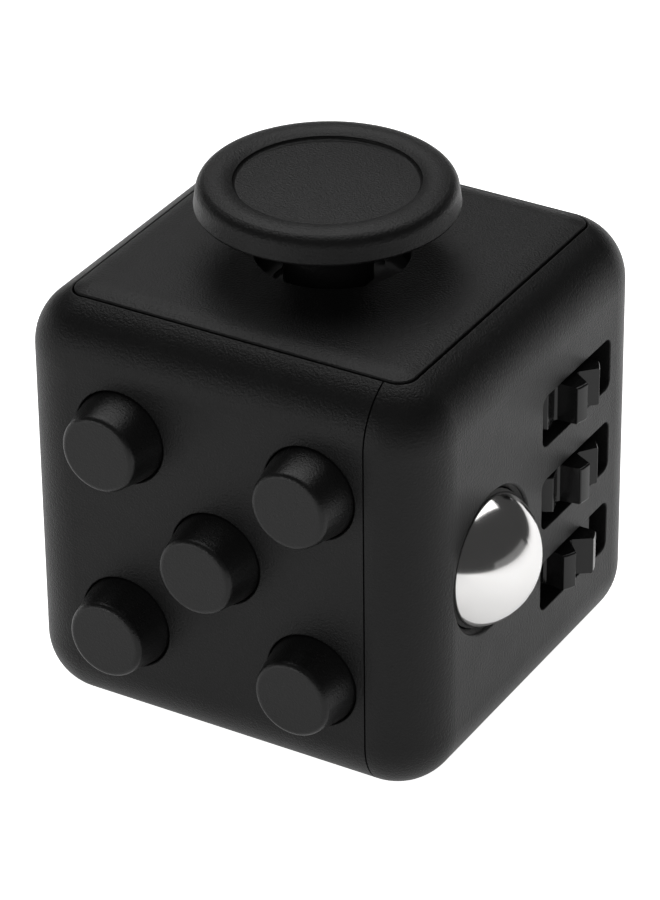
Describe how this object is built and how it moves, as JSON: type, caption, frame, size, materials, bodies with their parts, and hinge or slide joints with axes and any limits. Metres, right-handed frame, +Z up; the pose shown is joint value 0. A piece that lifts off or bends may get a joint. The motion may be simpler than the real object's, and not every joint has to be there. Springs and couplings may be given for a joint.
{
  "type": "fidget cube",
  "caption": "Rounded black desk cube with a sliding thumb joystick, push buttons, toothed rollers, a steel ball, a rocker switch and a spin dial.",
  "frame": {"origin": "centre of the bottom face", "axes": "+Z up through the joystick, -Y towards the push buttons, +X towards the steel ball and the gears"},
  "size_m": [0.0392, 0.0388, 0.0388],
  "materials": {
    "case_plastic": "fine-grained moulded black, soft sheen",
    "button_plastic": "smooth satin black",
    "cap_plastic": "satin black, grained thumb floor",
    "gear_plastic": "satin black",
    "switch_plastic": "satin black",
    "dial_plastic": "satin black",
    "polished_steel": "mirror polished",
    "screw_steel": "zinc plated",
    "spring_steel": "bright drawn",
    "inner_plastic": "natural moulded, dark",
    "silicone": "matt silicone"
  },
  "bodies": {
    "cube": {"main_body": "case_plastic", "roll_cover": "case_plastic", "top_panel": "case_plastic", "button_backplate": "inner_plastic", "backplate_screws": "screw_steel", "click_domes": "spring_steel", "joystick_retainer": "inner_plastic", "retainer_screws": "screw_steel", "centring_diaphragm": "silicone", "switch_cradle": "inner_plastic", "cradle_screws": "screw_steel", "dial_spring_washer": "spring_steel", "gear_axle": "screw_steel", "gear_click_spring": "spring_steel", "click_spring_screws": "screw_steel", "ball_retainer": "inner_plastic", "ball_retainer_screws": "screw_steel", "ball_spring": "spring_steel", "button_spring_upper_left": "spring_steel", "button_spring_upper_right": "spring_steel", "button_spring_centre": "spring_steel", "button_spring_lower_left": "spring_steel", "button_spring_lower_right": "spring_steel"},
    "slip_washer": {"joystick_slip_washer": "inner_plastic"},
    "joystick": {"joystick_cap": "cap_plastic", "joystick_slide_disc": "inner_plastic", "joystick_screw": "screw_steel"},
    "rocker_switch": {"rocker": "switch_plastic", "rocker_plunger": "spring_steel", "rocker_spring": "spring_steel"},
    "spin_dial": {"dial": "dial_plastic", "dial_washer": "screw_steel", "dial_screw": "screw_steel"},
    "plunger": {"ball_plunger": "inner_plastic"},
    "ball": {"steel_ball": "polished_steel"},
    "push_upper_left": {"button_upper_left": "button_plastic"},
    "push_upper_right": {"button_upper_right": "button_plastic"},
    "push_centre": {"button_centre": "button_plastic"},
    "push_lower_left": {"button_lower_left": "button_plastic"},
    "push_lower_right": {"button_lower_right": "button_plastic"},
    "wheel_upper": {"gear_upper": "gear_plastic"},
    "wheel_middle": {"gear_middle": "gear_plastic"},
    "wheel_lower": {"gear_lower": "gear_plastic"}
  },
  "joints": [
    {"name": "press_upper_left", "type": "slide", "parent": "cube", "child": "push_upper_left", "axis": [0, 1, 0], "range_m": [0, 0.0012], "stiffness_N_per_m": 300, "springref_m": -0.002, "deforming": ["button_spring_upper_left"]},
    {"name": "press_upper_right", "type": "slide", "parent": "cube", "child": "push_upper_right", "axis": [0, 1, 0], "range_m": [0, 0.0012], "stiffness_N_per_m": 300, "springref_m": -0.002, "deforming": ["button_spring_upper_right"]},
    {"name": "press_centre", "type": "slide", "parent": "cube", "child": "push_centre", "axis": [0, 1, 0], "range_m": [0, 0.0012], "stiffness_N_per_m": 300, "springref_m": -0.002, "deforming": ["button_spring_centre"]},
    {"name": "press_lower_left", "type": "slide", "parent": "cube", "child": "push_lower_left", "axis": [0, 1, 0], "range_m": [0, 0.0012], "stiffness_N_per_m": 300, "springref_m": -0.002, "deforming": ["button_spring_lower_left"]},
    {"name": "press_lower_right", "type": "slide", "parent": "cube", "child": "push_lower_right", "axis": [0, 1, 0], "range_m": [0, 0.0012], "stiffness_N_per_m": 300, "springref_m": -0.002, "deforming": ["button_spring_lower_right"]},
    {"name": "roll_upper", "type": "hinge", "parent": "cube", "child": "wheel_upper", "pos_m": [0.0135, 0.00573, 0.0232], "axis": [0, 0, 1], "continuous": true},
    {"name": "roll_middle", "type": "hinge", "parent": "cube", "child": "wheel_middle", "pos_m": [0.0135, 0.00573, 0.0164], "axis": [0, 0, 1], "continuous": true},
    {"name": "roll_lower", "type": "hinge", "parent": "cube", "child": "wheel_lower", "pos_m": [0.0135, 0.00573, 0.0096], "axis": [0, 0, 1], "continuous": true},
    {"name": "joystick_x", "type": "slide", "parent": "cube", "child": "slip_washer", "axis": [1, 0, 0], "range_m": [-0.00112, 0.00188], "stiffness_N_per_m": 250, "deforming": ["centring_diaphragm"]},
    {"name": "joystick_y", "type": "slide", "parent": "slip_washer", "child": "joystick", "axis": [0, 1, 0], "range_m": [-0.0015, 0.0015], "stiffness_N_per_m": 250, "deforming": ["centring_diaphragm"]},
    {"name": "rocker_flip", "type": "hinge", "parent": "cube", "child": "rocker_switch", "pos_m": [0, 0.0132, 0.0165], "axis": [1, 0, 0], "range_deg": [0, 24]},
    {"name": "dial_spin", "type": "hinge", "parent": "cube", "child": "spin_dial", "pos_m": [-0.0165, 0, 0.0165], "axis": [1, 0, 0], "continuous": true},
    {"name": "ball_click", "type": "slide", "parent": "cube", "child": "plunger", "axis": [-1, 0, 0], "range_m": [0, 0.001], "stiffness_N_per_m": 400, "springref_m": -0.002, "deforming": ["ball_spring"]},
    {"name": "ball_roll", "type": "hinge", "parent": "plunger", "child": "ball", "pos_m": [0.01455, -0.00675, 0.01615], "axis": [0, 0, 1], "continuous": true}
  ]
}
